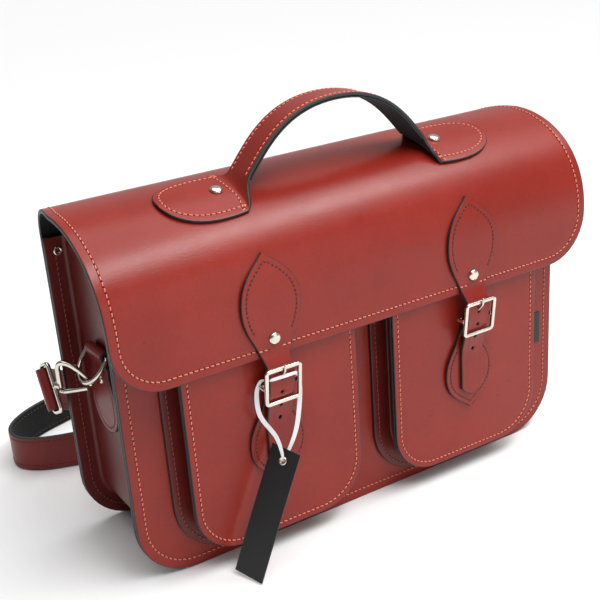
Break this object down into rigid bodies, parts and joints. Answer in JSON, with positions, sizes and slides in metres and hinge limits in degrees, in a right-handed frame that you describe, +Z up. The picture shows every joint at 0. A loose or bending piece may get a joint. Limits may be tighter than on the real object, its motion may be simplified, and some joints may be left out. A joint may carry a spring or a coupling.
{
  "type": "satchel bag",
  "caption": "Structured leather satchel with a wide flap, front pockets under buckled straps, a top handle and a clip-on shoulder strap standing behind it.",
  "frame": {"origin": "on the ground, at the middle of the box round the bag without its free shoulder strap and swing tag", "axes": "+X to the bag's right seen from the front, -Y out of the front with the pockets, +Z up"},
  "size_m": [0.4486, 0.3604, 0.324],
  "materials": {
    "red_leather": "smooth semi-gloss oxblood red",
    "shaded_leather": "smooth semi-gloss, darker red",
    "nickel": "polished nickel plate",
    "black_card": "satin black coated card",
    "label_fabric": "black woven tape",
    "ribbon": "white satin ribbon"
  },
  "bodies": {
    "bag_body": {"front_panel": "red_leather", "back_panel": "red_leather", "main_gusset": "shaded_leather", "woven_label": "label_fabric", "shoulder_strap_long": "red_leather", "shoulder_strap_short": "red_leather", "strap_keeper": "red_leather", "rear_eyelet_left": "nickel", "pocket_front_left": "red_leather", "pocket_gusset_left": "shaded_leather", "buckle_patch_left": "red_leather", "side_tab_left": "red_leather", "side_tab_rivet_left": "nickel", "rear_eyelet_right": "nickel", "pocket_front_right": "red_leather", "pocket_gusset_right": "shaded_leather", "buckle_patch_right": "red_leather", "side_tab_right": "red_leather", "side_tab_rivet_right": "nickel"},
    "flap": {"flap": "red_leather", "handle_outer": "red_leather", "handle_lining": "shaded_leather", "handle_rivet_left": "nickel", "closure_strap_left": "red_leather", "closure_rivet_left": "nickel", "handle_rivet_right": "nickel", "closure_strap_right": "red_leather", "closure_rivet_right": "nickel"},
    "buckle_frame_left": {"buckle_frame_left": "nickel"},
    "buckle_prong_left": {"buckle_prong_left": "nickel"},
    "ring_left": {"d_ring_left": "nickel"},
    "hook_left": {"snap_hook_left": "nickel"},
    "gate_left": {"hook_gate_left": "nickel"},
    "loop_left": {"strap_loop_left": "nickel"},
    "strap_end_left": {"strap_end_left": "red_leather", "strap_end_rivet_upper_left": "nickel", "strap_end_rivet_lower_left": "nickel"},
    "buckle_frame_right": {"buckle_frame_right": "nickel"},
    "buckle_prong_right": {"buckle_prong_right": "nickel"},
    "ring_right": {"d_ring_right": "nickel"},
    "hook_right": {"snap_hook_right": "nickel"},
    "gate_right": {"hook_gate_right": "nickel"},
    "loop_right": {"strap_loop_right": "nickel"},
    "strap_end_right": {"strap_end_right": "red_leather", "strap_end_rivet_upper_right": "nickel", "strap_end_rivet_lower_right": "nickel"},
    "adjuster_frame": {"adjuster_frame": "nickel"},
    "adjuster_prong": {"adjuster_prong": "nickel"},
    "swing_tag": {"swing_tag": "black_card", "tag_eyelet": "nickel", "ribbon": "ribbon"}
  },
  "joints": [
    {"name": "flap_hinge", "type": "hinge", "parent": "bag_body", "child": "flap", "pos_m": [0, 0.0727, 0.23815], "axis": [-1, 0, 0], "range_deg": [0, 110], "deforming": ["closure_strap_left", "closure_strap_right"]},
    {"name": "buckle_tilt_left", "type": "hinge", "parent": "bag_body", "child": "buckle_frame_left", "pos_m": [-0.09, -0.0607, 0.141], "axis": [1, 0, 0], "range_deg": [-4, 4], "deforming": ["closure_strap_left", "ribbon"]},
    {"name": "prong_lift_left", "type": "hinge", "parent": "buckle_frame_left", "child": "buckle_prong_left", "pos_m": [-0.09, -0.0607, 0.141], "axis": [1, 0, 0], "range_deg": [0, 60], "deforming": ["closure_strap_left", "ribbon"]},
    {"name": "ring_swing_left", "type": "hinge", "parent": "bag_body", "child": "ring_left", "pos_m": [-0.1886, 0.0217, 0.166], "axis": [0, 1, 0], "range_deg": [0, 50], "deforming": ["shoulder_strap_long"]},
    {"name": "hook_swing_left", "type": "hinge", "parent": "ring_left", "child": "hook_left", "pos_m": [-0.2034, 0.0217, 0.1471], "axis": [0, 1, 0], "range_deg": [-1, 6], "deforming": ["shoulder_strap_long"]},
    {"name": "gate_open_left", "type": "hinge", "parent": "hook_left", "child": "gate_left", "pos_m": [-0.21453, 0.03623, 0.1383], "axis": [-0.7071, -0.7071, 0], "range_deg": [0, 10], "stiffness_Nm_per_rad": 0.02, "springref_deg": -11.46},
    {"name": "loop_swivel_left", "type": "hinge", "parent": "hook_left", "child": "loop_left", "pos_m": [-0.217, 0.0387, 0.1415], "axis": [-0.1548, 0.8877, -0.4335], "range_deg": [-10, 10], "deforming": ["shoulder_strap_long"]},
    {"name": "strap_end_turn_left", "type": "hinge", "parent": "loop_left", "child": "strap_end_left", "pos_m": [-0.21945, 0.05273, 0.13465], "axis": [0, 0.4388, 0.8986], "range_deg": [-4, 8], "deforming": ["shoulder_strap_long"]},
    {"name": "buckle_tilt_right", "type": "hinge", "parent": "bag_body", "child": "buckle_frame_right", "pos_m": [0.09, -0.0607, 0.141], "axis": [1, 0, 0], "range_deg": [-4, 4], "deforming": ["closure_strap_right"]},
    {"name": "prong_lift_right", "type": "hinge", "parent": "buckle_frame_right", "child": "buckle_prong_right", "pos_m": [0.09, -0.0607, 0.141], "axis": [1, 0, 0], "range_deg": [0, 60], "deforming": ["closure_strap_right"]},
    {"name": "ring_swing_right", "type": "hinge", "parent": "bag_body", "child": "ring_right", "pos_m": [0.1886, 0.0217, 0.166], "axis": [0, -1, 0], "range_deg": [0, 50], "deforming": ["shoulder_strap_short"]},
    {"name": "hook_swing_right", "type": "hinge", "parent": "ring_right", "child": "hook_right", "pos_m": [0.2034, 0.0217, 0.1471], "axis": [0, -1, 0], "range_deg": [-1, 6], "deforming": ["shoulder_strap_short"]},
    {"name": "gate_open_right", "type": "hinge", "parent": "hook_right", "child": "gate_right", "pos_m": [0.21453, 0.03623, 0.1383], "axis": [-0.7071, 0.7071, 0], "range_deg": [0, 10], "stiffness_Nm_per_rad": 0.02, "springref_deg": -11.46},
    {"name": "loop_swivel_right", "type": "hinge", "parent": "hook_right", "child": "loop_right", "pos_m": [0.217, 0.0387, 0.1415], "axis": [0.1548, 0.8877, -0.4335], "range_deg": [-10, 10], "deforming": ["shoulder_strap_short"]},
    {"name": "strap_end_turn_right", "type": "hinge", "parent": "loop_right", "child": "strap_end_right", "pos_m": [0.21945, 0.05273, 0.13465], "axis": [0, 0.4388, 0.8986], "range_deg": [-8, 4], "deforming": ["shoulder_strap_short"]},
    {"name": "adjuster_tilt", "type": "hinge", "parent": "bag_body", "child": "adjuster_frame", "pos_m": [0.086, 0.1327, 0.0216], "axis": [0, 0, 1], "range_deg": [-4, 4]},
    {"name": "adjuster_prong_lift", "type": "hinge", "parent": "adjuster_frame", "child": "adjuster_prong", "pos_m": [0.086, 0.1327, 0.0216], "axis": [0, 0, -1], "range_deg": [0, 70]},
    {"name": "tag_swing", "type": "hinge", "parent": "bag_body", "child": "swing_tag", "pos_m": [-0.09, -0.0607, 0.149], "axis": [0, 1, 0], "range_deg": [-10, 20]}
  ]
}
